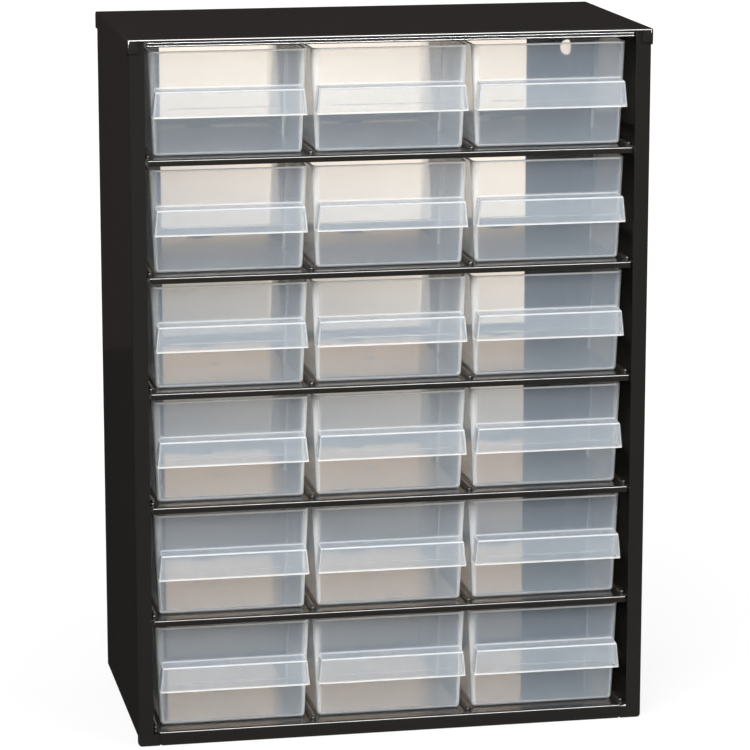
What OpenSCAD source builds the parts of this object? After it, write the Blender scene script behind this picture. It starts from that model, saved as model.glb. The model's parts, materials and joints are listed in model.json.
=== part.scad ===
// Sheet-steel parts cabinet with clear pull-out bins.
// Millimetres. +X points right, +Y to the back and +Z up. The origin is on the floor,
// under the middle of the cabinet. The bins slide out towards -Y.

/* [Layout] */
// Columns of bins
cols = 3; // [2:1:4]
// Rows of bins
rows = 6; // [4:1:7]

/* [Bin tub] */
// Width of a bin over its rim
bin_w = 91.6; // [80:0.1:110]
// Height of a bin
bin_h = 60; // [50:0.5:75]
// Depth of a bin over its rim, without the pull
bin_d = 124.8; // [110:0.1:128]
// Wall thickness of a bin
bin_wall = 1.2; // [0.9:0.1:1.6]
// Floor thickness of a bin
bin_floor = 1.4; // [1:0.1:2]
// How much each wall leans in between the rim and the base
bin_draft = 2.8; // [1.5:0.1:3]
// Radius of the upright corners at the rim
bin_corner_r = 5.2; // [4.6:0.1:8]
// Radius of the edge between walls and base
bin_base_r = 2.2; // [1.6:0.1:2.4]
// Diameter of the gate mark in the middle of the floor
gate_d = 5; // [3:0.5:8]
// Height of the gate mark
gate_h = 0.4; // [0.2:0.1:0.8]

/* [Divider guides] */
// How far a guide stands out from the inner face of a side wall
guide_out = 0.8; // [0.6:0.1:1.5]
// Thickness of a guide
guide_t = 0.8; // [0.6:0.1:1.2]
// Width of the slot that two guides leave for a divider
guide_slot = 1.6; // [1:0.1:2.4]
// Distance of the guides' upper ends below the rim
guide_drop = 2; // [1:0.5:20]

/* [Bin pull] */
// Height of the line where the pull leaves the front wall
pull_z = 40; // [34:0.5:46]
// Fall of the sloping top of the pull
pull_drop = 2; // [1:0.1:4]
// Height of the upright face of the pull
pull_h = 15; // [12:0.5:20]
// How far the pull stands out from the rim
pull_out = 8.2; // [6:0.1:9]
// Width of the pull along its top edge
pull_w = 85.8; // [70:0.1:88]
// How much wider the pull is along its bottom edge
pull_flare = 3; // [0:0.1:3.4]
// Wall thickness of the pull
pull_wall = 1.1; // [0.8:0.1:1.5]
// Radius of the outer edges of the pull
pull_edge_r = 1; // [0.4:0.1:1.4]
// Length of the ridge inside the pull that keeps a label in
label_ridge_len = 72; // [40:1:76]
// Height of the label ridge over the pull's lower edge
label_ridge_z = 4.6; // [2:0.1:7]
// Thickness and height of the label ridge
label_ridge_t = 0.8; // [0.4:0.1:1.2]

/* [Bin stops] */
// Length of the stop lug behind each side wall's rim
lug_len = 6; // [4:0.5:10]
// Gap between the top of a lug and the shelf above
lug_gap = 2; // [1:0.1:2.5]

/* [Running clearances] */
// Gap between neighbouring rims
bin_gap = 2.4; // [1.6:0.1:5]
// Height of the space over a bin, up to the next shelf's top face
head_room = 7.6; // [6.6:0.1:10]
// Gap between an outer rim and the side wall
side_gap = 11.4; // [10.6:0.1:16]
// Gap under a bin that stands on its shelf
foot_gap = 0.2; // [0.1:0.05:0.4]
// Gap between the front of the posts and the front of the pulls
pull_set_back = 0.6; // [0:0.1:3]
// Gap left between a stop and what it meets
stop_gap = 0.5; // [0.2:0.1:1]

/* [Sheet metal] */
// Thickness of the steel sheet
sheet = 0.8; // [0.6:0.1:1]
// Inside radius of the bends
bend_r = 0.6; // [0.3:0.1:0.9]
// Gap between sheets that fit over or behind one another
fit_gap = 0.2; // [0.1:0.05:0.5]
// Depth over the front posts and the rear flanges
case_d = 153; // [146:0.5:175]

/* [Side walls] */
// Width of a front post
post_w = 9; // [7:0.5:10.5]
// Width of a rear flange
rear_flange_w = 37.4; // [20:0.2:45]
// Height of the side wall's lower edge over the floor
side_lift = 6.2; // [3:0.1:8]
// Depth of a post's foot, behind which the side wall is cut away
foot_depth = 2.4; // [2:0.1:6]
// Radius of the lower outer corner of a post
foot_corner_r = 2.4; // [0.5:0.1:3]
// How far the foot of a post reaches inwards under the tray
foot_reach = 3.7; // [2:0.1:6]
// Diameter of the wall-hanging hole
hang_hole_d = 9.4; // [5:0.1:12]
// Distance of the hanging hole from the side wall's outer face
hang_hole_in = 11.5; // [9:0.1:14]
// Distance of the hanging hole below the top of the side wall
hang_hole_drop = 27; // [20:0.5:60]

/* [Shelves] */
// Height of a shelf's front lip, which points down
lip_h = 3.9; // [3:0.1:5.5]
// Height of a shelf's rear lip, which points up
rear_lip_h = 2.8; // [2:0.1:5]
// Gap between the end of a lip and the post
lip_end_gap = 1.6; // [0.3:0.1:3]
// Length of the welding tab at each end of a shelf
tab_len = 130; // [60:1:134]
// Height of the welding tabs
tab_h = 6; // [4:0.1:7]
// Width of a guide rib pressed up between two bins
rib_w = 4; // [2:0.1:5]
// Height of a guide rib
rib_h = 2.2; // [1.2:0.1:3]
// Distance of a rib's front end behind the shelf's front face
rib_set_back = 5; // [3:0.5:20]
// Width of the stop tab behind each bin
stop_w = 14; // [8:0.5:24]
// Height of a stop tab
stop_h = 3.4; // [2.6:0.1:5]

/* [Base tray] */
// Height of the base tray's top face over the floor
base_h = 8.4; // [7.6:0.1:14]
// Cut-off at the lower corners of the tray's rails
rail_chamfer = 1.2; // [0.8:0.1:4]

/* [Top panel] */
// Radius of the two beads along the front lip
bead_r = 0.45; // [0.3:0.05:0.6]
// Height of the upper bead's middle below the panel's top face
bead_upper_z = 1.6; // [1.5:0.1:2]
// Height of the lower bead's middle below the panel's top face
bead_lower_z = 3.3; // [3:0.1:3.4]

/* [Top cap] */
// Height of the cap's side and rear flanges
cap_flange_h = 9.6; // [6:0.1:16]
// Width of the cap's front corner tabs
cap_tab_w = 7; // [5:0.1:12]
// Height of the corner tabs
cap_tab_h = 8.2; // [5:0.1:12]
// Height of the cap's front lip between the tabs
cap_lip_h = 1.7; // [1.6:0.1:3.4]
// Radius of the cap's upright corners
cap_corner_r = 2; // [1.2:0.1:4]

/* [Hidden] */
arc_steps = 5;
bore_fn = 64;
bead_fn = 24;
eps = 0.01;
bend_mid_r = bend_r + sheet / 2;
bend_out_r = bend_r + sheet;

col_pitch = bin_w + bin_gap;
level_pitch = bin_h + head_room;
case_w = cols * bin_w + (cols - 1) * bin_gap + 2 * (side_gap + sheet);
wall_in_x = case_w / 2 - sheet;
post_in_x = case_w / 2 - post_w;
shelf_lip_half = post_in_x - lip_end_gap;
rail_half = post_in_x - foot_reach - fit_gap;
front_y = -case_d / 2;
rear_y = case_d / 2;
top_h = base_h + rows * level_pitch;
rim_y = front_y + pull_set_back + pull_out;
bin_rear_y = rim_y + bin_d;
lug_h = head_room - sheet - lug_gap;
lug_front_y = bin_rear_y - bin_corner_r - lug_len;
// Travel of a bin, until its lugs meet the lip of the shelf above
bin_travel = lug_front_y - (front_y + sheet) - stop_gap;
stop_y = bin_rear_y - bin_draft + stop_gap;
hang_hole_x = case_w / 2 - hang_hole_in;
hang_hole_z = top_h - hang_hole_drop;
cap_over = fit_gap + sheet;
cap_w = case_w + 2 * cap_over;
cap_d = case_d + 2 * cap_over;
cap_top = top_h + cap_over;

steel = [0.16, 0.15, 0.15];
clear_plastic = [0.82, 0.87, 0.92, 0.45];

levels = [for (r = [1:rows]) r];
columns = [for (c = [1:cols]) c];
SHELVES = [for (s = [1:rows - 1]) str("shelf_", s)];
BINS = [for (r = levels, c = columns) bin_name(r, c)];

function bin_name(r, c) = str("bin_r", r, "_c", c);
function level_z(r) = base_h + (rows - r) * level_pitch;
function column_x(c) = (c - (cols + 1) / 2) * col_pitch;

// ---- plane geometry ----

function unit(v) = v / norm(v);
function left_of(v) = [-v.y, v.x];
function turned(v, a) = [v.x * cos(a) - v.y * sin(a), v.x * sin(a) + v.y * cos(a)];
function arc(centre, r, from, to) =
    [for (k = [0:arc_steps]) centre + turned([r, 0], from + (to - from) * k / arc_steps)];

// One bend of a folded sheet: pairs of a point on the sheet's middle line and its normal
function bend(before, corner, after) =
    let (d1 = unit(corner - before), d2 = unit(after - corner))
    let (side = cross(d1, d2) > 0 ? 1 : -1, angle = acos(d1 * d2))
    let (centre = corner - d1 * bend_mid_r * tan(angle / 2) + side * left_of(d1) * bend_mid_r)
    [for (k = [0:arc_steps])
        let (normal = turned(left_of(d1), side * angle * k / arc_steps))
        [centre - side * normal * bend_mid_r, normal]];

// Outline of a sheet that is folded along the points of a path, its middle line
function folded(path) =
    let (last = len(path) - 1)
    let (samples = concat(
        [[path[0], left_of(unit(path[1] - path[0]))]],
        [for (i = [1:last - 1]) each bend(path[i - 1], path[i], path[i + 1])],
        [[path[last], left_of(unit(path[last] - path[last - 1]))]]))
    concat(
        [for (s = samples) s[0] + s[1] * sheet / 2],
        [for (i = [len(samples) - 1:-1:0]) samples[i][0] - samples[i][1] * sheet / 2]);

// Rectangle from two corners with all four corners rounded
function rounded_box(low, high, r) = concat(
    arc([high.x - r, high.y - r], r, 0, 90),
    arc([low.x + r, high.y - r], r, 90, 180),
    arc([low.x + r, low.y + r], r, 180, 270),
    arc([high.x - r, low.y + r], r, 270, 360));

// Extrudes a YZ outline to both sides of the middle plane, along X
module across(length) {
    rotate([90, 0, 90])
        translate([0, 0, -length / 2])
            linear_extrude(length)
                children();
}

// Extrudes an XZ outline along Y, between two depths
module along(from, to) {
    translate([0, to, 0])
        rotate([90, 0, 0])
            linear_extrude(to - from)
                children();
}

// ---- casing ----

// Side wall with its front post and rear flange, in one folded sheet
module side_wall() {
    wall_x = case_w / 2 - sheet / 2;
    difference() {
        union() {
            linear_extrude(top_h)
                polygon(folded([
                    [post_in_x, front_y + sheet / 2],
                    [wall_x, front_y + sheet / 2],
                    [wall_x, rear_y - sheet / 2],
                    [case_w / 2 - rear_flange_w, rear_y - sheet / 2]]));
            translate([post_in_x - foot_reach, front_y, 0])
                cube([foot_reach + sheet, sheet, base_h - bend_out_r]);
        }
        translate([case_w / 2 - rear_flange_w - 1, front_y + foot_depth, -1])
            cube([rear_flange_w + 2, case_d, side_lift + 1]);
        translate([case_w / 2 - foot_corner_r, rear_y, foot_corner_r])
            rotate([90, 0, 0])
                difference() {
                    translate([0, -foot_corner_r - 1, 0])
                        cube([foot_corner_r + 1, foot_corner_r + 1, case_d + 1]);
                    translate([0, 0, -1])
                        cylinder(r = foot_corner_r, h = case_d + 3, $fn = bore_fn);
                }
        translate([hang_hole_x, rear_y + 1, hang_hole_z])
            rotate([90, 0, 0])
                cylinder(d = hang_hole_d, h = sheet + 2, $fn = bore_fn);
    }
}

module right_side() {
    color(steel)
        side_wall();
}

module left_side() {
    color(steel)
        mirror([1, 0, 0])
            side_wall();
}

// Outline of a tray seen from above: wide behind the posts, narrow between them
function tray_outline(lip_half) =
    let (wide_front = front_y + bend_out_r + fit_gap, rear = rear_y - sheet - fit_gap - bend_out_r)
    [[-lip_half, front_y + bend_out_r], [-lip_half, wide_front],
     [-wall_in_x, wide_front], [-wall_in_x, rear],
     [wall_in_x, rear], [wall_in_x, wide_front],
     [lip_half, wide_front], [lip_half, front_y + bend_out_r]];

// Folded tray with its top face at z = 0. Its front lip points down, and its rear lip ends
// at the height rear_end, over or under the top face.
module tray(lip_half, lip, rear_end) {
    lip_rear_y = rear_y - sheet - fit_gap - sheet / 2;
    across(2 * lip_half)
        polygon(folded([
            [front_y + sheet / 2, -lip],
            [front_y + sheet / 2, -sheet / 2],
            [lip_rear_y, -sheet / 2],
            [lip_rear_y, rear_end]]));
    translate([0, 0, -sheet])
        linear_extrude(sheet)
            polygon(tray_outline(lip_half));
}

// Tabs that stand on a tray's ends and are welded to the side walls
module welding_tabs(low, high) {
    for (side = [-1, 1])
        translate([side * (wall_in_x - sheet / 2) - sheet / 2, -tab_len / 2, low])
            cube([sheet, tab_len, high - low]);
}

// Half section of a guide rib, a flat-topped bead that grows out of the sheet
function rib_half() =
    let (top = sheet + rib_h, r = min(rib_h, rib_w / 2) * 0.8)
    concat([[0, 0], [rib_w / 2, 0]], arc([rib_w / 2 - r, top - r], r, 0, 90), [[0, top]]);

// Guide ribs with round ends, one on each side of every bin
module guide_ribs() {
    rib_front = front_y + rib_set_back + rib_w / 2;
    rib_rear = bin_rear_y - rib_w / 2;
    for (c = [0:cols])
        translate([(c - cols / 2) * col_pitch, 0, -sheet]) {
            for (side = [0, 1])
                mirror([side, 0, 0])
                    along(rib_front, rib_rear)
                        polygon(rib_half());
            for (y = [rib_front, rib_rear])
                translate([0, y, 0])
                    rotate_extrude($fn = bore_fn)
                        polygon(rib_half());
        }
}

// Stop tabs lanced out of the sheet, one behind each bin
module bin_stops() {
    for (c = columns)
        translate([column_x(c) - stop_w / 2, stop_y, -sheet])
            cube([stop_w, sheet, sheet + stop_h]);
}

// The slots that the stop tabs leave in the sheet
module stop_slots() {
    for (c = columns)
        translate([column_x(c) - stop_w / 2, stop_y + sheet, -sheet - 1])
            cube([stop_w, stop_h, sheet + 2]);
}

// Tray with the guides and stops of one row of bins; its children are welded on
module bin_tray(lip_half, lip, rear_end) {
    difference() {
        union() {
            tray(lip_half, lip, rear_end);
            children();
        }
        stop_slots();
    }
    guide_ribs();
    bin_stops();
}

// Shelf that carries one row of bins
module shelf(r) {
    color(steel)
        translate([0, 0, level_z(r)])
            bin_tray(shelf_lip_half, lip_h, rear_lip_h)
                welding_tabs(-tab_h, -sheet / 2);
}

// Bottom tray, whose lips are the front and rear rails that stand on the floor
module base_tray() {
    color(steel)
        translate([0, 0, base_h])
            difference() {
                bin_tray(rail_half, base_h, -base_h) {
                    welding_tabs(-sheet, tab_h);
                    translate([-shelf_lip_half, front_y, -sheet])
                        cube([2 * shelf_lip_half, 2 * bend_out_r + fit_gap, sheet]);
                }
                rail_bend_relief();
                rail_corners();
            }
}

// Leaves the bend round where the plain front edge would square it off
module rail_bend_relief() {
    translate([0, front_y + bend_out_r, -bend_out_r])
        difference() {
            across(2 * rail_half)
                polygon([[0, 0], [-bend_out_r - 1, 0], [-bend_out_r - 1, bend_out_r + 1], [0, bend_out_r + 1]]);
            across(2 * rail_half + 1)
                polygon(concat([[0, 0]], arc([0, 0], bend_out_r, 90, 180)));
        }
}

// Cuts off the lower corners of the rails
module rail_corners() {
    for (side = [-1, 1])
        translate([side * rail_half, 0, -base_h])
            rotate([0, 45, 0])
                cube([rail_chamfer * sqrt(2), case_d + 1, rail_chamfer * sqrt(2)], center = true);
}

// Beads pressed outwards along a front lip, below the cap
module lip_beads() {
    for (z = [bead_upper_z, bead_lower_z])
        translate([0, front_y, -z])
            across(2 * shelf_lip_half)
                circle(r = bead_r, $fn = bead_fn);
}

// Plain tray that closes the casing under the cap
module top_panel() {
    color(steel)
        translate([0, 0, top_h]) {
            tray(shelf_lip_half, lip_h, -lip_h);
            welding_tabs(-tab_h, -sheet / 2);
            lip_beads();
        }
}

// The cap's outer form, and with a wall taken off all round its hollow
module cap_form(wall, depth) {
    r = max(bend_out_r - wall, eps);
    half_w = cap_w / 2 - wall;
    half_d = cap_d / 2 - wall;
    top = cap_top - wall;
    low = top - depth;
    intersection() {
        across(cap_w + 1)
            polygon(rounded_box([-half_d, low - 2 * r], [half_d, top], r));
        along(-cap_d, cap_d)
            polygon(rounded_box([-half_w, low - 2 * r], [half_w, top], r));
        translate([0, 0, low])
            linear_extrude(depth + 1)
                polygon(rounded_box([-half_w, -half_d], [half_w, half_d], cap_corner_r - wall));
    }
}

// Cap pressed over the top of the casing, cut back at the front between two corner tabs
module top_cap() {
    tab_in_x = cap_w / 2 - cap_tab_w;
    tab_low = cap_top - cap_tab_h;
    color(steel)
        difference() {
            cap_form(0, cap_flange_h);
            cap_form(sheet, cap_flange_h);
            translate([-tab_in_x, -cap_d / 2 - 1, cap_top - cap_flange_h - 1])
                cube([2 * tab_in_x, cap_corner_r + 2, cap_flange_h + 1 - cap_lip_h]);
            translate([-cap_w, -cap_d / 2 - 1, cap_top - cap_flange_h - 1])
                cube([2 * cap_w, cap_corner_r + 1, cap_flange_h + 1 - cap_tab_h]);
        }
}

// ---- bins ----
// A bin is drawn with x = 0 in its middle, y = 0 at the front of its rim and z = 0 at its base.

// Half section through a wall that leans out upwards, from the corner's axis:
// reach is the radius at the rim, and the lower edge is rounded by base_r
function wall_section(reach, low, high, base_r) =
    let (slope = bin_draft / bin_h, lean = atan(slope))
    let (foot = reach - (bin_h - low) * slope, r = min(base_r, foot - 0.1))
    concat(
        arc([foot + r * slope - r / cos(lean), low + r], r, 270, 360 - lean),
        [[reach + (high - bin_h) * slope, high]]);

// Whole section, with the half section on both sides of the middle and its axis half_span away
function both_walls(section, half_span) = concat(
    [for (p = section) [p.x + half_span, p.y]],
    [for (i = [len(section) - 1:-1:0]) [-section[i].x - half_span, section[i].y]]);

// Box with leaning walls, cone-shaped corners and rounded lower edges, all of one section
module drafted_box(corner_r, wall, low, high, base_r) {
    half_w = bin_w / 2 - corner_r;
    half_d = bin_d / 2 - corner_r;
    section = wall_section(corner_r - wall, low, high, base_r);
    translate([0, bin_d / 2, 0]) {
        along(-half_d, half_d)
            polygon(both_walls(section, half_w));
        across(2 * half_w)
            polygon(both_walls(section, half_d));
        for (x = [-half_w, half_w], y = [-half_d, half_d])
            translate([x, y, 0])
                rotate_extrude($fn = bore_fn)
                    polygon(concat([[0, low]], section, [[0, high]]));
    }
}

module tub_outside() {
    drafted_box(bin_corner_r, 0, 0, bin_h, bin_base_r);
}

module tub_inside() {
    drafted_box(bin_corner_r, bin_wall, bin_floor, bin_h + 1, max(bin_base_r - bin_wall, 0.4));
}

// Solid form of the pull: a sloping top and an upright face that widens downwards
module pull_form(wall, low) {
    front = wall - pull_out;
    face_top = pull_z - pull_drop - wall;
    slope = pull_drop / pull_out;
    r = max(pull_edge_r - wall, 0.3);
    back = bin_corner_r;
    half_top = pull_w / 2 - wall;
    widen = pull_flare / 2 / pull_h;
    intersection() {
        across(bin_w)
            polygon(concat(
                [[back, low], [back, pull_z - wall + back * slope]],
                arc([front + r, face_top - r], r, 90 + atan(slope), 180),
                [[front, low]]));
        along(-pull_out - 1, back)
            polygon(concat(
                [[half_top + widen * (face_top - low), low]],
                arc([half_top - r, face_top + pull_drop - r], r, 0, 90),
                arc([r - half_top, face_top + pull_drop - r], r, 90, 180),
                [[-half_top - widen * (face_top - low), low]]));
    }
}

// Stop lugs that stand on the rims of the side walls, in front of the rear corners. Each slopes
// down to the back, so that it passes under the shelf's lip as the bin goes in.
module stop_lugs() {
    lug_t = bin_wall - 2 * bin_draft / bin_h;
    y_rear = bin_d - bin_corner_r;
    for (side = [-1, 1])
        translate([side * (bin_w / 2 - bin_wall + lug_t / 2), 0, bin_h])
            across(lug_t)
                polygon([
                    [y_rear - lug_len, -1],
                    [y_rear, -1],
                    [y_rear, 0],
                    [y_rear - lug_len / 2, lug_h],
                    [y_rear - lug_len, lug_h]]);
}

// Ridge on the inner side of the pull's face, which keeps a label in
module label_ridge() {
    translate([-label_ridge_len / 2, pull_wall / 2 - pull_out, pull_z - pull_drop - pull_h + label_ridge_z])
        cube([label_ridge_len, pull_wall / 2 + label_ridge_t, label_ridge_t]);
}

// Pairs of upright ribs on the side walls at mid-depth, with a slot between them for a divider
module divider_guides() {
    slope = bin_draft / bin_h;
    low = bin_floor / 2;
    high = bin_h - guide_drop;
    face_low = bin_w / 2 - bin_wall - (bin_h - low) * slope;
    face_high = bin_w / 2 - bin_wall - guide_drop * slope;
    sunk = bin_wall / 4;
    for (side = [0, 1])
        mirror([side, 0, 0])
            for (y = [bin_d / 2 - guide_slot / 2 - guide_t, bin_d / 2 + guide_slot / 2])
                along(y, y + guide_t)
                    polygon([
                        [face_low - guide_out, low],
                        [face_high - guide_out, high],
                        [face_high + sunk, high],
                        [face_low + sunk, low]]);
}

module bin() {
    pull_low = pull_z - pull_drop - pull_h;
    color(clear_plastic)
        union() {
            difference() {
                union() {
                    tub_outside();
                    pull_form(0, pull_low);
                }
                tub_inside();
                difference() {
                    pull_form(pull_wall, pull_low - 1);
                    tub_outside();
                }
            }
            stop_lugs();
            label_ridge();
            divider_guides();
            translate([0, bin_d / 2, bin_floor / 2])
                cylinder(d = gate_d, h = bin_floor / 2 + gate_h, $fn = bore_fn);
        }
}

// A bin in its place in the casing
module placed_bin(r, c) {
    translate([column_x(c), rim_y, level_z(r) + foot_gap])
        bin();
}

// ---- nodes ----

left_side();
right_side();
base_tray();
top_panel();
top_cap();
for (s = [1:rows - 1]) shelf(s);
for (r = levels, c = columns) placed_bin(r, c);
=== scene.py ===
# %% [markdown]
# # A parts bin cabinet with clear pull-out bins
#
# The real object is a small cabinet of folded sheet steel, black and glossy, with eighteen clear
# plastic bins in six rows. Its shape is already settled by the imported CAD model. This lesson
# dresses that model: it models the moulded bins with their rounded rims and hooded pulls, softens
# the cut edges of the sheet steel, and gives both materials a finish. Everything is in metres,
# with +Z up, and the bins slide out towards -Y.
#
# The first cell loads the CAD model. Each piece made later replaces one of its nodes and rides on
# the body that the node belongs to, so that it moves as the node does.

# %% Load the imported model
import json
import math

import bmesh
import bpy
from mathutils import Matrix, Vector


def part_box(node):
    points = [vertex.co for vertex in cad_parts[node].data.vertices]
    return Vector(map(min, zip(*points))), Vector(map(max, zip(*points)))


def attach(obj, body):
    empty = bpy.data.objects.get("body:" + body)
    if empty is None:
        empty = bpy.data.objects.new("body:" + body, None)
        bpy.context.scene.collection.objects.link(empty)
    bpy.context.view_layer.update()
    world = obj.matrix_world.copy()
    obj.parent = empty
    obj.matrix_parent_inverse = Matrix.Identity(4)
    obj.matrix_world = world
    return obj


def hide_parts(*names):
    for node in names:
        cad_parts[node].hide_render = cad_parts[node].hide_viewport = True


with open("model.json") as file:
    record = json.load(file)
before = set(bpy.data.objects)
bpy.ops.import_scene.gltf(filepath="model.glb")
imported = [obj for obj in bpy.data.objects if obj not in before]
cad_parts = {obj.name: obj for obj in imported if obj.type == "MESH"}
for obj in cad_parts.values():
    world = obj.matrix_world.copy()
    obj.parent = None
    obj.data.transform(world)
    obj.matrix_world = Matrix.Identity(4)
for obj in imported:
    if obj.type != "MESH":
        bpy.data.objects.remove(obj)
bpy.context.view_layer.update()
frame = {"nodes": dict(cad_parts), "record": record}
nodes = frame["nodes"]
body_of_node = {
    name: body
    for body, members in frame["record"]["behaviour"]["bodies"].items()
    for name in members}
bpy.ops.object.select_all(action="DESELECT")
scene = bpy.context.scene
scene.view_settings.view_transform = "Standard"
MM = 0.001

# %% [markdown]
# ## Camera
#
# The cabinet is seen from a little above and from its left. A long lens two metres away keeps its
# upright edges nearly parallel. The camera comes first, so that every piece can be judged from the
# place it will be seen from.

# %% Camera
CAMERA_PLACE = (-0.3854, -1.9884, 0.6328)
CAMERA_DOWN = math.radians(12.049)
CAMERA_TO_RIGHT = math.radians(11.084)
SENSOR_W, LENS = 36, 164.83

camera_data = bpy.data.cameras.new("camera")
camera_data.sensor_width = SENSOR_W
camera_data.lens = LENS
camera = bpy.data.objects.new("camera", camera_data)
camera.location = CAMERA_PLACE
camera.rotation_euler = (math.radians(90) - CAMERA_DOWN, 0, -CAMERA_TO_RIGHT)
scene.collection.objects.link(camera)
scene.camera = camera
print("camera", round(Vector(CAMERA_PLACE).length, 2), "m from the cabinet")

# %% [markdown]
# ## Helpers for modelling
#
# An operator in edit mode acts on what is selected. By hand one clicks; in a script the faces and
# edges are picked by a test of their place. So `edit` enters edit mode on a piece, `pick` selects
# what passes a test, `cut` cuts along a plane, and `done` leaves edit mode. The second cell works
# on whole pieces: it adds a box between two corners, and applies a modifier as soon as it is set.

# %% Helpers for edit mode
def edit(piece, kind="FACE"):
    """Makes the piece the only selected one and enters edit mode, with nothing picked."""
    bpy.ops.object.select_all(action="DESELECT")
    piece.select_set(True)
    bpy.context.view_layer.objects.active = piece
    bpy.ops.object.mode_set(mode="EDIT")
    bpy.ops.mesh.select_mode(type=kind)
    bpy.ops.mesh.select_all(action="DESELECT")


def done():
    """Leaves edit mode and drops the selection."""
    bpy.ops.object.mode_set(mode="OBJECT")
    bpy.ops.object.select_all(action="DESELECT")


def pick(test, kind="FACE"):
    """Selects the faces or edges whose points all pass the test."""
    bm = bmesh.from_edit_mesh(bpy.context.object.data)
    for element in (bm.faces if kind == "FACE" else bm.edges):
        if all(test(v.co) for v in element.verts):
            element.select_set(True)
    bm.select_flush_mode()
    bmesh.update_edit_mesh(bpy.context.object.data)


def cut(place, normal, clear=False):
    """Cuts the whole mesh along a plane, and with clear drops what lies on the normal's side."""
    bpy.ops.mesh.select_all(action="SELECT")
    bpy.ops.mesh.bisect(plane_co=place, plane_no=normal, clear_outer=clear)
    bpy.ops.mesh.select_all(action="DESELECT")


# %% Helpers for whole pieces
def add_box(name, low, high):
    """A box between two corners, as the start of a piece."""
    middle = [(a + b) / 2 for a, b in zip(low, high)]
    bpy.ops.mesh.primitive_cube_add(size=1, location=middle)
    piece = bpy.context.object
    piece.name = name
    piece.scale = [b - a for a, b in zip(low, high)]
    bpy.ops.object.transform_apply(location=True, scale=True)
    return piece


def apply_modifier(piece, kind, **settings):
    """Adds a modifier with these settings and applies it."""
    bpy.context.view_layer.objects.active = piece
    modifier = piece.modifiers.new(kind.lower(), kind)
    for name, value in settings.items():
        setattr(modifier, name, value)
    bpy.ops.object.modifier_apply(modifier=modifier.name)


def soften(piece, width, segments=2, sharper_than=60):
    """Rounds the edges that turn by more than this many degrees."""
    apply_modifier(
        piece, "BEVEL", width=width, segments=segments,
        limit_method="ANGLE", angle_limit=math.radians(sharper_than))


def smooth(piece, flatter_than):
    """Shades edges smooth up to this many degrees, with the large faces kept flat."""
    bpy.context.view_layer.objects.active = piece
    piece.select_set(True)
    bpy.ops.object.shade_smooth_by_angle(angle=math.radians(flatter_than))
    apply_modifier(piece, "WEIGHTED_NORMAL", keep_sharp=True)
    bpy.ops.object.select_all(action="DESELECT")


def union(piece, part):
    """Welds a part into a piece, so that the plastic has no walls inside."""
    apply_modifier(piece, "BOOLEAN", operation="UNION", solver="EXACT", object=part)
    bpy.data.objects.remove(part)

# %% [markdown]
# ## One bin: the tub
#
# A moulded bin leans out upwards, so that it slips off its mould, and its corners are cones. That
# form is an inset: the rim's outline is shrunk by the draft and pushed down to the base. The base
# edge gets a bevel, Solidify gives the wall its thickness, and the rim is rounded a little.

# %% Sizes of a bin
RIM_W, RIM_D, BIN_H = 91.6 * MM, 124.8 * MM, 60 * MM
WALL = 1.2 * MM
DRAFT = 2.8 * MM  # how far each wall leans out over the whole height
LEAN = DRAFT / BIN_H
CORNER_R, BASE_R, RIM_R = 5.2 * MM, 2.2 * MM, 0.4 * MM
CORNER_STEPS, BASE_STEPS, RIM_STEPS = 8, 4, 3
NEAR = 0.01 * MM  # how close counts as the same place
print("bin", RIM_W / MM, "x", RIM_D / MM, "x", BIN_H / MM, "mm")


# %% Tub
def make_tub():
    """The tub stands on Z 0 with the outside of its front rim at Y 0."""
    bpy.ops.mesh.primitive_plane_add(size=1, location=(0, RIM_D / 2, BIN_H))
    tub = bpy.context.object
    tub.name = "bin"
    tub.scale = (RIM_W, RIM_D, 1)
    bpy.ops.object.transform_apply(location=True, scale=True)
    edit(tub)
    bpy.ops.mesh.select_all(action="SELECT")
    bpy.ops.mesh.bevel(offset=CORNER_R, segments=CORNER_STEPS, affect="VERTICES")
    bpy.ops.mesh.select_all(action="SELECT")
    bpy.ops.mesh.inset(thickness=DRAFT)
    bpy.ops.transform.translate(value=(0, 0, -BIN_H))
    bpy.ops.mesh.select_all(action="SELECT")
    bpy.ops.mesh.flip_normals()
    bpy.ops.mesh.select_all(action="DESELECT")
    bpy.ops.mesh.select_mode(type="EDGE")
    pick(lambda p: p.z < NEAR, "EDGE")
    bpy.ops.mesh.bevel(offset=BASE_R, segments=BASE_STEPS, affect="EDGES")
    done()
    apply_modifier(tub, "SOLIDIFY", thickness=WALL, offset=-1, use_even_offset=True)
    soften(tub, RIM_R, RIM_STEPS)
    return tub


bin_pattern = make_tub()
print("tub faces", len(bin_pattern.data.polygons))

# %% [markdown]
# ## One bin: the hooded pull
#
# The pull is a hood in front of the wall: a sloping top, an upright face that widens downwards and
# two cheeks. It starts as a box. The points are moved to the slope and the flare, the open back
# and bottom are deleted, the outer edges are bevelled, and Solidify makes the shell. Its back is
# cut along the middle of the leaning wall, where the union then joins the two.

# %% Sizes of the pull
PULL_Z, PULL_DROP, PULL_H = 38.8 * MM, 0.8 * MM, 15 * MM
PULL_OUT, PULL_W, PULL_FLARE = 8.2 * MM, 85.8 * MM, 3 * MM
PULL_WALL, PULL_EDGE_R, PULL_RIM_R = 1.1 * MM, 1 * MM, 0.3 * MM
PULL_EDGE_STEPS = 4
PULL_BACK = 3 * MM  # how far the box reaches into the wall before it is cut
PULL_TOP = PULL_Z - PULL_DROP
PULL_LOW = PULL_TOP - PULL_H
print("pull from", round(PULL_LOW / MM, 1), "to", round(PULL_Z / MM, 1), "mm above the base")


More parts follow.
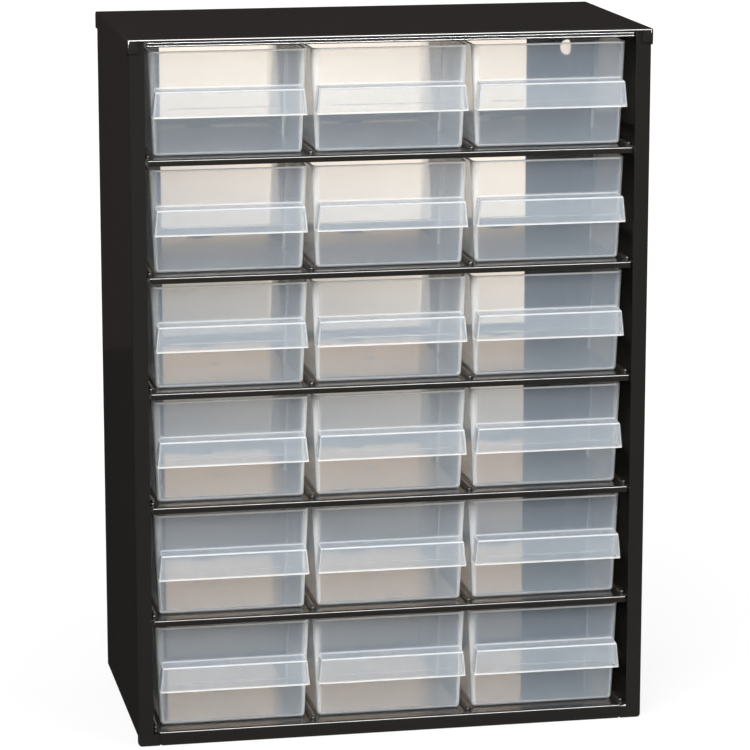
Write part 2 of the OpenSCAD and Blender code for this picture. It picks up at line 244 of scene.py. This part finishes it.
# %% Pull
def make_pull():
    pull = add_box("pull", (-PULL_W / 2, -PULL_OUT, PULL_LOW), (PULL_W / 2, PULL_BACK, PULL_TOP))
    middle_z = PULL_TOP - PULL_H / 2
    slope = PULL_DROP / PULL_OUT
    for v in pull.data.vertices:
        if v.co.z < middle_z:
            v.co.x += math.copysign(PULL_FLARE / 2, v.co.x)
        elif v.co.y > 0:
            v.co.z = PULL_Z + PULL_BACK * slope
    edit(pull)
    pick(lambda p: p.y > PULL_BACK - NEAR)
    pick(lambda p: p.z < PULL_LOW + NEAR)
    bpy.ops.mesh.delete(type="FACE")

    # three edges of the top and the two upright ones in front, but not the open rims
    bpy.ops.mesh.select_mode(type="EDGE")
    pick(lambda p: p.z > middle_z, "EDGE")
    pick(lambda p: p.y < -PULL_OUT + NEAR and p.x > 0, "EDGE")
    pick(lambda p: p.y < -PULL_OUT + NEAR and p.x < 0, "EDGE")
    bm = bmesh.from_edit_mesh(pull.data)
    for e in bm.edges:
        if e.is_boundary:
            e.select_set(False)
    bmesh.update_edit_mesh(pull.data)
    bpy.ops.mesh.bevel(offset=PULL_EDGE_R, segments=PULL_EDGE_STEPS, affect="EDGES")

    mid_wall_y = (BIN_H - PULL_Z) * LEAN + WALL / 2
    cut((0, mid_wall_y, PULL_Z), (0, 1, LEAN), clear=True)
    done()
    apply_modifier(pull, "SOLIDIFY", thickness=PULL_WALL, offset=-1, use_even_offset=True)
    soften(pull, PULL_RIM_R)
    return pull


pull = make_pull()
print("pull faces", len(pull.data.polygons))

# %% [markdown]
# ## One bin: the small parts
#
# Two lugs on the rear ends of the rim stop the bin against the shelf above. A thin ridge inside
# the pull's face keeps a paper label in, and two pairs of upright guides at mid-depth hold a
# divider. In the middle of the floor the mould left a small round mark. Each is a small box or
# disc with softened edges, welded into the bin.

# %% Stop lugs
LUG_LEN, LUG_H, LUG_ROOT = 6 * MM, 4.8 * MM, 1 * MM
LUG_T = WALL - 2 * DRAFT * WALL / BIN_H - 0.1 * MM  # a little thinner than the leaning wall
FINE_R = 0.15 * MM


def make_lug(side):
    rear = RIM_D - CORNER_R
    x = side * (RIM_W / 2 - WALL / 2)
    lug = add_box(
        "lug", (x - LUG_T / 2, rear - LUG_LEN, BIN_H - LUG_ROOT),
        (x + LUG_T / 2, rear, BIN_H + LUG_H))
    edit(lug, "EDGE")
    pick(lambda p: p.z > BIN_H and p.y > rear - NEAR, "EDGE")
    bpy.ops.mesh.bevel(offset=LUG_LEN / 2, segments=1, affect="EDGES")
    done()
    soften(lug, FINE_R, sharper_than=30)
    return lug


small_parts = [make_lug(-1), make_lug(1)]
print("lugs", round(LUG_T / MM, 2), "mm thick")

# %% Label ridge and gate mark
RIDGE_LEN, RIDGE_Z, RIDGE_T = 72 * MM, 4.6 * MM, 0.8 * MM
GATE_D, GATE_H, GATE_SIDES = 5 * MM, 0.4 * MM, 32
SMALL_R = 0.2 * MM


def make_ridge():
    ridge = add_box(
        "ridge", (-RIDGE_LEN / 2, PULL_WALL / 2 - PULL_OUT, PULL_LOW + RIDGE_Z),
        (RIDGE_LEN / 2, PULL_WALL + RIDGE_T - PULL_OUT, PULL_LOW + RIDGE_Z + RIDGE_T))
    soften(ridge, SMALL_R)
    return ridge


def make_gate():
    bpy.ops.mesh.primitive_cylinder_add(
        vertices=GATE_SIDES, radius=GATE_D / 2, depth=2 * GATE_H, location=(0, RIM_D / 2, WALL))
    gate = bpy.context.object
    bpy.ops.object.transform_apply(location=True)
    soften(gate, FINE_R)
    return gate


small_parts += [make_ridge(), make_gate()]
print("ridge", round(RIDGE_LEN / MM), "mm long, gate mark", round(GATE_D / MM), "mm wide")

# %% Divider guides
GUIDE_OUT, GUIDE_T, GUIDE_SLOT, GUIDE_DROP = 0.8 * MM, 0.8 * MM, 1.6 * MM, 2 * MM


def make_guide(side, end):
    """An upright guide on a side wall, before the divider or behind it, leaning with the wall."""
    face = RIM_W / 2 - WALL
    y = RIM_D / 2 + end * (GUIDE_SLOT + GUIDE_T) / 2
    guide = add_box(
        "guide", (face - GUIDE_OUT, y - GUIDE_T / 2, WALL / 2),
        (face + WALL / 4, y + GUIDE_T / 2, BIN_H - GUIDE_DROP))
    for v in guide.data.vertices:
        v.co.x = side * (v.co.x - (BIN_H - v.co.z) * DRAFT / BIN_H)
    if side < 0:
        guide.data.flip_normals()
    soften(guide, SMALL_R)
    return guide


small_parts += [make_guide(side, end) for side in (-1, 1) for end in (-1, 1)]
print(len(small_parts), "small parts")

# %% Weld the bin together
for part in [pull] + small_parts:
    union(bin_pattern, part)
print("bin faces", len(bin_pattern.data.polygons))

# %% [markdown]
# ## Where a glow is painted on the plastic
#
# Clear plastic carries light along inside its walls and lets it out where the wall ends or turns,
# so rims, pull edges and upright corners look white. No surface shader does that by itself.
# Instead that glow is painted: each point of the mesh gets a number, near 0 on the plain walls and
# up to 1 on the front edges, which the material reads later and turns into a painted white glow.
# A few cuts beside the edges keep the painted glow narrow, and a table says how strong it is at
# each place.

# %% Cuts beside the edges
GLOW_W = 1.3 * MM
UP, BACK = (0, 0, 1), (0, 1, 0)

edit(bin_pattern)
for place, normal in (
        ((0, 0, BIN_H - GLOW_W), UP),
        ((0, 0, PULL_Z + GLOW_W), UP),
        ((0, 0, BASE_R + GLOW_W / 2), UP),
        ((0, -GLOW_W / 2, 0), BACK),
        ((0, CORNER_R + GLOW_W, 0), BACK),
        ((0, 2 * CORNER_R, 0), BACK),
        ((0, RIM_D - CORNER_R - GLOW_W, 0), BACK),
        ((0, 0, PULL_LOW + GLOW_W), UP)):
    cut(place, normal)
done()
print("bin faces", len(bin_pattern.data.polygons))

# %% How strong the painted glow is
# painted glow: how white each place is painted, also the side walls, back wall and guides, which it
# paints lighter
GLOW = {
    "rim": 0.8, "front corner": 0.5, "rear corner": 0.12, "side wall": 0.08, "back wall": 0.04,
    "front base edge": 0.4, "base edge": 0.15, "guide": 0.25,
    "pull": 0.07, "pull front edge": 1.0, "pull low edge": 0.6, "cheek edge": 0.5, "pull join": 0.5}
CORNER_TURN = 60  # degrees round a corner at which its glow is full
LINE_CORE = 1.6  # above 1 keeps the glow full for a little way beside its line


def near_line(a, b, reach):
    """1 on a line that both distances are measured from, falling to 0 at the reach."""
    return max(0.0, min(1.0, LINE_CORE * (1 - math.hypot(a, b) / reach)))


print(len(GLOW), "kinds of places glow")


# %% Painted glow of a point of the tub
def corner_glow(p):
    """Painted glow of the side part of an upright corner."""
    in_front = p.y < RIM_D / 2
    axis_x = RIM_W / 2 - CORNER_R
    axis_y = CORNER_R if in_front else RIM_D - CORNER_R
    out_x, out_y = abs(p.x) - axis_x, abs(p.y - axis_y)
    beyond = p.y < axis_y + NEAR if in_front else p.y > axis_y - NEAR
    if out_x <= 0 or not beyond or p.y < 0:
        return 0.0
    turn = math.degrees(math.atan2(out_x, out_y))
    return GLOW["front corner" if in_front else "rear corner"] * min(1.0, turn / CORNER_TURN)


def tub_glow(p):
    """The strongest painted glow of the places of the tub and its guides that the point belongs to.
    """
    inner_x = RIM_W / 2 - WALL - (BIN_H - p.z) * LEAN
    in_base_round = 0.2 * BASE_R < p.z < 0.8 * BASE_R and abs(p.z - WALL) > 2 * NEAR
    between_guides = abs(p.y - RIM_D / 2) < GUIDE_SLOT / 2 + GUIDE_T + NEAR
    glows = [corner_glow(p)]
    if p.y > RIM_D - CORNER_R:
        glows.append(GLOW["back wall"])
    if abs(p.x) > inner_x - NEAR:
        glows.append(GLOW["side wall"])
    if p.z > BIN_H - 0.6 * GLOW_W:
        glows.append(GLOW["rim"])
    if p.y > -NEAR and in_base_round:
        glows.append(GLOW["front base edge" if p.y < 1.5 * CORNER_R else "base edge"])
    if between_guides and 2 * WALL < p.z < BIN_H and abs(p.x) < inner_x - 0.4 * GUIDE_OUT:
        glows.append(GLOW["guide"])
    return max(glows)


# %% Painted glow of a point of the pull
JOIN_REACH = 1.3 * PULL_EDGE_R


def pull_glow(p):
    """The strongest painted glow of the pull's edges, and of the line where it joins the wall."""
    wall_y = (BIN_H - p.z) * LEAN
    glows = [0.0]
    if p.y < wall_y + 0.3 * MM and abs(p.x) < RIM_W / 2 and p.z > PULL_Z - 0.4 * PULL_WALL:
        glows.append(GLOW["pull join"] * near_line(p.z - PULL_Z, p.y - wall_y, JOIN_REACH))
    if p.y < wall_y - 0.2 * MM:
        cheek_x = PULL_W / 2 + PULL_FLARE / 2 * (PULL_TOP - p.z) / PULL_H
        top_z = PULL_Z + (p.y if p.y < 0 else 0) * PULL_DROP / PULL_OUT
        out_y, out_x = p.y + PULL_OUT, abs(p.x) - cheek_x
        glows += [
            GLOW["pull"],
            GLOW["pull low edge"] * near_line(p.z - PULL_LOW, 0, GLOW_W),
            GLOW["pull front edge"] * near_line(out_y, p.z - PULL_TOP, PULL_EDGE_R),
            GLOW["cheek edge"] * near_line(out_y, out_x, PULL_EDGE_R),
            GLOW["cheek edge"] * near_line(p.z - top_z, out_x, PULL_EDGE_R)]
    return max(glows)


# each point gets its painted glow, which the plastic turns into painted white light
painted_glow = bin_pattern.data.attributes.new("painted_glow", "FLOAT", "POINT")
for v, level in zip(bin_pattern.data.vertices, painted_glow.data):
    level.value = max(tub_glow(v.co), pull_glow(v.co))
print(sum(level.value > 0.5 for level in painted_glow.data), "of", len(painted_glow.data), "points glow")

# %% [markdown]
# ## Helpers for node trees
#
# A material is a tree of nodes. These helpers write it down the way it is read: each call adds a
# node and says what it is linked to. Two kinds of node come again and again, so they have their
# own helpers. One maps a number onto another span. The other takes one of two shaders, which is
# how a stage piece looks one way to the camera and another way in a mirror.

# %% Helpers for node trees
def node_tree(owner):
    """An empty node tree of a material or the world, with a short way to add and link."""
    owner.use_nodes = True
    tree = owner.node_tree
    tree.nodes.clear()

    def add(kind, links=(), values=(), **settings):
        node = tree.nodes.new(kind)
        for name, value in settings.items():
            setattr(node, name, value)
        for socket, value in values:
            node.inputs[socket].default_value = value
        for socket, source in links:
            tree.links.new(source, node.inputs[socket])
        return node
    return add


def span(add, source, low=0.0, high=1.0, start=0.0, end=1.0):
    """A number that runs from low to high while the source runs from start to end."""
    return add("ShaderNodeMapRange", links=[("Value", source)], values=[
        ("From Min", start), ("From Max", end), ("To Min", low), ("To Max", high)]).outputs[0]


def choose(add, factor, no, yes):
    """The first shader where the factor is 0, the second where it is 1."""
    return add("ShaderNodeMixShader", links=[(0, factor), (1, no), (2, yes)]).outputs[0]

# %% [markdown]
# ## The plastic
#
# Natural polypropylene is neither glass nor white. It scatters a little of the blue light, so its
# walls show a bluish veil over something dark, and what comes straight through looks warmer. So a
# clear, slightly warm Principled shader is mixed with a bluish Diffuse one. Where the glow is
# painted, the diffuse share is large and white, a painted highlight. A wide, faint bump gives the
# walls their moulded waviness. For rays on their way to a lamp a Transparent shader stands in, so
# that the pieces behind stay lit, because a refracting wall would block those rays.

# %% Bin plastic
CLEAR_TINT = (1.0, 0.97, 0.91, 1)
# the bluish veil, and the white of the painted glow on edges and walls
VEIL_TINT, PAINTED_GLOW_TINT = (0.68, 0.80, 0.96, 1), (1.0, 1.0, 1.0, 1)
EDGE_FROM = 0.4  # the glow from which the veil is white
PASSING_TINT = (0.80, 0.79, 0.77, 1)
VEIL_SHARE, EDGE_SHARE = 0.118, 0.85

plastic = bpy.data.materials.new("bin_plastic")
add = node_tree(plastic)
place = add("ShaderNodeTexCoord").outputs["Object"]
path = add("ShaderNodeLightPath")
edge = add("ShaderNodeAttribute", attribute_name="painted_glow").outputs["Fac"]
wave = add(
    "ShaderNodeTexNoise", links=[("Vector", place)],
    values=[("Scale", 38), ("Detail", 1.5)]).outputs["Fac"]
bump = add(
    "ShaderNodeBump", links=[("Height", wave)], values=[("Strength", 0.02), ("Distance", 0.0012)])
frost = span(add, wave, 0.02, 0.07)
clear = add(
    "ShaderNodeBsdfPrincipled",
    links=[("Roughness", frost), ("Normal", bump.outputs[0])],
    values=[("Base Color", CLEAR_TINT), ("IOR", 1.49), ("Transmission Weight", 1.0)])
tone = add("ShaderNodeValToRGB", links=[("Fac", edge)])
tone.color_ramp.elements[0].color = VEIL_TINT
tone.color_ramp.elements[1].color = PAINTED_GLOW_TINT
tone.color_ramp.elements[1].position = EDGE_FROM
veil = add("ShaderNodeBsdfDiffuse", links=[("Color", tone.outputs[0])])
share = span(add, edge, VEIL_SHARE, EDGE_SHARE)
moulded = choose(add, share, clear.outputs[0], veil.outputs[0])
passing = add("ShaderNodeBsdfTransparent", values=[("Color", PASSING_TINT)])
surface = choose(add, path.outputs["Is Shadow Ray"], moulded, passing.outputs[0])
add("ShaderNodeOutputMaterial", links=[("Surface", surface)])
print("plastic ready")

# %% [markdown]
# ## Eighteen bins
#
# All the bins come out of one mould, so the pattern is shaded smooth once and then copied, each
# copy with its own mesh, and moved to the place of its CAD bin. Each rides on its own body, which
# slides.

# %% Eighteen bins
BIN_SMOOTH = 32
bin_pattern.data.materials.append(plastic)
smooth(bin_pattern, BIN_SMOOTH)

bin_nodes = sorted(n for n in nodes if n.startswith("bin_"))
for name in bin_nodes:
    low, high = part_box(name)
    bin_piece = bin_pattern.copy()
    bin_piece.data = bin_pattern.data.copy()
    bin_piece.name = name + "_moulded"
    scene.collection.objects.link(bin_piece)
    bin_piece.data.transform(Matrix.Translation(((low.x + high.x) / 2, low.y + PULL_OUT, low.z)))
    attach(bin_piece, body_of_node[name])
    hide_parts(name)
bpy.data.objects.remove(bin_pattern)
print(len(bin_nodes), "bins")

# %% [markdown]
# ## Black enamel
#
# The casing is sprayed and baked, so its black is deep, smooth and glossy, with a faint orange
# peel that only shows in the highlights. A cloudy noise makes the colour and the gloss vary a
# little, as in a sprayed coat, and a very fine one is the peel.

# %% Black enamel
DARK_BLACK, PALE_BLACK = (0.020, 0.0181, 0.0163, 1), (0.028, 0.0256, 0.0230, 1)

enamel = bpy.data.materials.new("black_enamel")
add = node_tree(enamel)
place = add("ShaderNodeTexCoord").outputs["Object"]
cloud = add(
    "ShaderNodeTexNoise", links=[("Vector", place)],
    values=[("Scale", 9), ("Detail", 3)]).outputs["Fac"]
tone = add("ShaderNodeValToRGB", links=[("Fac", cloud)])
tone.color_ramp.elements[0].color = DARK_BLACK
tone.color_ramp.elements[1].color = PALE_BLACK
gloss = span(add, cloud, 0.05, 0.10)
peel = add(
    "ShaderNodeTexNoise", links=[("Vector", place)],
    values=[("Scale", 420), ("Detail", 2)]).outputs["Fac"]
bump = add(
    "ShaderNodeBump", links=[("Height", peel)], values=[("Strength", 0.06), ("Distance", 0.0004)])
coat = add(
    "ShaderNodeBsdfPrincipled",
    links=[("Base Color", tone.outputs[0]), ("Roughness", gloss), ("Normal", bump.outputs[0])])
add("ShaderNodeOutputMaterial", links=[("Surface", coat.outputs[0])])
print("enamel ready")

# %% [markdown]
# ## The casing
#
# The folded sheets keep the exact form of the CAD nodes. A CAD mesh is loose triangles with hard
# shading, so each sheet is copied, its points are merged, flat areas are joined up again, and the
# cut edges get the thin round that paint gives them. The bends are then shaded smooth. Weighted
# normals keep the flat faces flat beside them, so that a lamp draws one unbroken line along each
# bend. The sheets also go into two collections, because the lamps later treat the beaded panel
# on its own.

# %% The casing
SHEET_EDGE_R, SHEET_EDGE_TURN = 0.16 * MM, 50
FLAT_TURN, SHEET_SMOOTH = 0.5, 35  # degrees


def enamelled(name):
    """A copy of a CAD sheet with merged points, rounded edges, smooth bends and enamel."""
    node = nodes[name]
    piece = node.copy()
    piece.data = node.data.copy()
    piece.name = name + "_sheet"
    for key in list(piece.keys()):
        del piece[key]
    piece.parent = None
    piece.hide_render = piece.hide_viewport = False
    scene.collection.objects.link(piece)
    edit(piece, "VERT")
    bpy.ops.mesh.select_all(action="SELECT")
    bpy.ops.mesh.customdata_custom_splitnormals_clear()
    bpy.ops.mesh.remove_doubles(threshold=0.5 * NEAR)
    bpy.ops.mesh.dissolve_limited(angle_limit=math.radians(FLAT_TURN))
    done()
    soften(piece, SHEET_EDGE_R, sharper_than=SHEET_EDGE_TURN)
    smooth(piece, SHEET_SMOOTH)
    piece.data.materials.clear()
    piece.data.materials.append(enamel)
    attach(piece, body_of_node[name])
    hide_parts(name)
    return piece


bent, beaded = bpy.data.collections.new("bent"), bpy.data.collections.new("beaded")
for name in sorted(set(nodes) - set(bin_nodes)):
    piece = enamelled(name)
    (beaded if name == "top_panel" else bent).objects.link(piece)
    print(name, len(piece.data.polygons), "faces")

# %% [markdown]
# ## Floor
#
# The cabinet stands on a pale floor. The camera sees it as white, with a painted grey shade near
# the cabinet and with the cabinet's shadow. Underneath the cabinet a painted shadow makes it dark,
# because a white floor there would shine through the slots of the base, and that painted shadow
# fades out towards the back. Rays that come through the clear bins see a warm floor with painted
# shade, which brightens away to the right and the back, and the enamel mirrors a nearly black one,
# which keeps it black. Light Path tells these rays apart.

# %% What the camera sees of the floor
FLOOR_SIZE, FLOOR_Z = 12, -0.2 * MM
# painted shade: the floor's level near the cabinet and the distances over which it turns white
NEAR_GREY = 0.86  # the floor's level close to the cabinet
GREY_FROM, GREY_TO = 0.15, 0.9
# painted shadow under the cabinet: half its width and depth, and how far it fades at the back
UNDER_X, UNDER_Y, UNDER_FADE = 0.146, 0.0745, 0.03

bpy.ops.mesh.primitive_plane_add(size=FLOOR_SIZE, location=(0, 0, FLOOR_Z))
floor = bpy.context.object
floor.name = "floor"
paper = bpy.data.materials.new("white_floor")
add = node_tree(paper)
path = add("ShaderNodeLightPath")
place = add("ShaderNodeTexCoord").outputs["Object"]
along = add("ShaderNodeSeparateXYZ", links=[(0, place)]).outputs
away = add("ShaderNodeVectorMath", operation="LENGTH", links=[(0, place)]).outputs["Value"]
level = span(add, away, NEAR_GREY, 1.0, GREY_FROM, GREY_TO)
# painted shadow under the cabinet, fading out towards the back
painted_shadow = span(add, along["Y"], 1.0, 0.0, UNDER_Y - UNDER_FADE, UNDER_Y)
for axis, half in (("X", UNDER_X), ("Y", UNDER_Y)):
    inside = add("ShaderNodeMath", operation="COMPARE", links=[(0, along[axis])], values=[
        (1, 0.0), (2, half)]).outputs[0]
    painted_shadow = add("ShaderNodeMath", operation="MULTIPLY", links=[(0, painted_shadow), (1, inside)]).outputs[0]
level = add("ShaderNodeMath", operation="MULTIPLY_ADD", use_clamp=True, links=[
    (0, painted_shadow), (2, level)], values=[(1, -1.0)]).outputs[0]
white = add("ShaderNodeEmission", links=[("Strength", level)])
shade = add("ShaderNodeBsdfDiffuse", values=[("Color", (0.17, 0.17, 0.17, 1))])
seen = add("ShaderNodeAddShader", links=[(0, white.outputs[0]), (1, shade.outputs[0])])
print("floor", FLOOR_SIZE, "m wide")

# %% What the bins and the enamel see of the floor
# painted shade and light on the floor seen through the bins: dark behind the cabinet, brighter to
# the right and the back
BRIGHT_WAY = (0.92, 0.455, 0)  # the direction in which the floor brightens
BRIGHT_FROM, BRIGHT_TO = 0.237, 0.837

slant = add("ShaderNodeVectorMath", operation="DOT_PRODUCT", links=[(0, place)], values=[
    (1, BRIGHT_WAY)]).outputs["Value"]
fade = span(add, slant, 0.12, 0.82, BRIGHT_FROM, BRIGHT_TO)
through = add(
    "ShaderNodeEmission", links=[("Strength", fade)], values=[("Color", (1.0, 0.93, 0.86, 1))])
mirrored = add("ShaderNodeEmission", values=[("Color", (0.020, 0.018, 0.017, 1))])
unseen = add("ShaderNodeBsdfDiffuse", values=[("Color", (0.2, 0.2, 0.205, 1))])
surface = choose(
    add, path.outputs["Is Transmission Ray"], unseen.outputs[0], through.outputs[0])
surface = choose(add, path.outputs["Is Reflection Ray"], surface, mirrored.outputs[0])
surface = choose(add, path.outputs["Is Camera Ray"], surface, seen.outputs[0])
add("ShaderNodeOutputMaterial", links=[("Surface", surface)])
floor.data.materials.append(paper)
print("floor ready")

# %% [markdown]
# ## Backdrop card
#
# What shows through the clear bins is what stands behind the cabinet. A studio has a lit card
# there, so this one stands a metre behind, with the light on it painted in as emission: warm,
# brighter towards the top and the right, warmer still in its upper part, and with painted shade
# above it and on its left. The camera doesn't see it, and the enamel mirrors it nearly black.

# %% Card and its colours
CARD_X, CARD_Y, CARD_W, CARD_H = 0.2, 1.08, 4.0, 0.75
CARD_SLANT, CARD_SHIFT = (0.42, 0, 1), 0.022
# painted light on the card: its colours up its height
CARD_STOPS = (  # height on the card and the colour there
    (-0.15, (0.05, 0.05, 0.05)), (-0.026, (0.28, 0.26, 0.24)), (0.075, (0.62, 0.56, 0.50)),
    (0.177, (1.16, 1.05, 0.98)), (0.278, (1.44, 1.33, 1.23)), (0.36, (1.33, 1.22, 1.12)))

bpy.ops.mesh.primitive_plane_add(
    size=1, location=(CARD_X, CARD_Y, CARD_H / 2), rotation=(math.radians(90), 0, 0))
card = bpy.context.object
card.name = "backdrop"
card.scale = (CARD_W, CARD_H, 1)
bpy.ops.object.transform_apply(location=True, rotation=True, scale=True)
lit_card = bpy.data.materials.new("lit_card")
add = node_tree(lit_card)
path = add("ShaderNodeLightPath")
place = add("ShaderNodeTexCoord").outputs["Object"]
along = add("ShaderNodeSeparateXYZ", links=[(0, place)]).outputs
slant = add("ShaderNodeVectorMath", operation="DOT_PRODUCT", links=[(0, place)], values=[
    (1, CARD_SLANT)]).outputs["Value"]
first, last = CARD_STOPS[0][0], CARD_STOPS[-1][0]
share = span(add, slant, 0.0, 1.0, first + CARD_SHIFT, last + CARD_SHIFT)
tones = add("ShaderNodeValToRGB", links=[("Fac", share)])
ramp = tones.color_ramp
for stop, (height, colour) in enumerate(CARD_STOPS):
    position = (height - first) / (last - first)
    if 0 < stop < len(CARD_STOPS) - 1:
        element = ramp.elements.new(position)
    else:
        element = ramp.elements[min(stop, len(ramp.elements) - 1)]
        element.position = position
    element.color = (*colour, 1)
print("card", CARD_W, "x", CARD_H, "m with", len(ramp.elements), "colours")

# %% Edges of the card's light
CARD_DARK = 0.04
CARD_LEFT, CARD_LIT = -0.22, -0.12
CARD_TOP, TOP_EDGE = 0.455, 0.015
CARD_WARM, WARM_EDGE = 0.315, 0.03
WARM_TINT = (0.95, 0.78, 0.60, 1)

# painted shade on the card's left and above its top, and a warmer painted band in its upper part
left = span(add, along["X"], CARD_DARK, 1.0, CARD_LEFT, CARD_LIT)
top = span(add, along["Z"], 1.0, CARD_DARK, CARD_TOP, CARD_TOP + TOP_EDGE)
lit = add("ShaderNodeMath", operation="MULTIPLY", links=[(0, left), (1, top)]).outputs[0]
upper = span(add, along["Z"], 0.0, 1.0, CARD_WARM, CARD_WARM + WARM_EDGE)
warm = add("ShaderNodeMix", data_type="RGBA", blend_type="MULTIPLY", links=[
    (0, upper), (6, tones.outputs[0])], values=[(7, WARM_TINT)]).outputs[2]
through = add("ShaderNodeEmission", links=[("Color", warm), ("Strength", lit)])
mirrored = add("ShaderNodeEmission", values=[("Color", (0.030, 0.026, 0.025, 1))])
nothing = add("ShaderNodeBsdfTransparent")
surface = choose(
    add, path.outputs["Is Reflection Ray"], through.outputs[0], mirrored.outputs[0])
surface = choose(add, path.outputs["Is Camera Ray"], surface, nothing.outputs[0])
add("ShaderNodeOutputMaterial", links=[("Surface", surface)])
card.data.materials.append(lit_card)
print("card ready")

# %% [markdown]
# ## The room
#
# The camera and the see-through bins see a plain white room. It lights the cabinet more weakly
# and a little bluish, and the enamel mirrors a dim one.

# %% The room
world = bpy.data.worlds.new("studio")
scene.world = world
add = node_tree(world)
path = add("ShaderNodeLightPath")
seen = add("ShaderNodeMath", operation="MAXIMUM", links=[
    (0, path.outputs["Is Camera Ray"]), (1, path.outputs["Is Transmission Ray"])]).outputs[0]
white = add("ShaderNodeBackground", values=[("Color", (1, 1, 1, 1)), ("Strength", 1.0)])
soft = add("ShaderNodeBackground", values=[("Color", (0.93, 0.97, 1.0, 1)), ("Strength", 0.45)])
mirrored = add("ShaderNodeBackground", values=[("Color", (1, 0.97, 0.95, 1)), ("Strength", 0.115)])
room = choose(add, path.outputs["Is Glossy Ray"], soft.outputs[0], mirrored.outputs[0])
room = choose(add, seen, room, white.outputs[0])
add("ShaderNodeOutputWorld", links=[("Surface", room)])
print("stage ready")

# %% [markdown]
# ## Lamps
#
# A large soft lamp from the front left gives the plastic its pale veil, and a weaker one from the
# right opens the shadows. The weaker one is kept out of mirrors, because the cap would show it as
# a white patch to somebody behind. The thin bright line along each bend comes from a long strip
# high in front. It is there for the gloss only, so it gives no diffuse light, and light linking
# keeps it off the plastic, which it would make milky. The beads of the top panel are much finer
# than the bends, so they get a stronger strip of their own.

# %% Lamps
MIDDLE = (0, 0, 0.2)
KEY_PLACE, KEY_SIZE, KEY_WATTS = (-1.2, -2.0, 1.9), (1.4, 1.4), 54
FILL_PLACE, FILL_SIZE, FILL_WATTS = (1.2, -1.9, 0.7), (1.0, 1.0), 22
STRIP_PLACE, STRIP_AIM, STRIP_SIZE = (0.4, -1.8, 1.9), (0.1, 0, 0.2), (1.8, 0.7)
BEND_WATTS, BEAD_WATTS = 170, 700


def soft_lamp(name, place, aim, size, watts):
    """A rectangular lamp that points at the aim."""
    data = bpy.data.lights.new(name, "AREA")
    data.shape = "RECTANGLE"
    data.size, data.size_y = size
    data.energy = watts
    lamp = bpy.data.objects.new(name, data)
    lamp.location = place
    lamp.rotation_euler = (Vector(aim) - Vector(place)).to_track_quat("-Z", "Y").to_euler()
    scene.collection.objects.link(lamp)
    return lamp


soft_lamp("key", KEY_PLACE, MIDDLE, KEY_SIZE, KEY_WATTS)
fill = soft_lamp("fill", FILL_PLACE, MIDDLE, FILL_SIZE, FILL_WATTS)
fill.visible_glossy = False
for name, sheets, watts in (("bend_strip", bent, BEND_WATTS), ("bead_strip", beaded, BEAD_WATTS)):
    strip = soft_lamp(name, STRIP_PLACE, STRIP_AIM, STRIP_SIZE, watts)
    strip.visible_diffuse = False
    strip.light_linking.receiver_collection = sheets
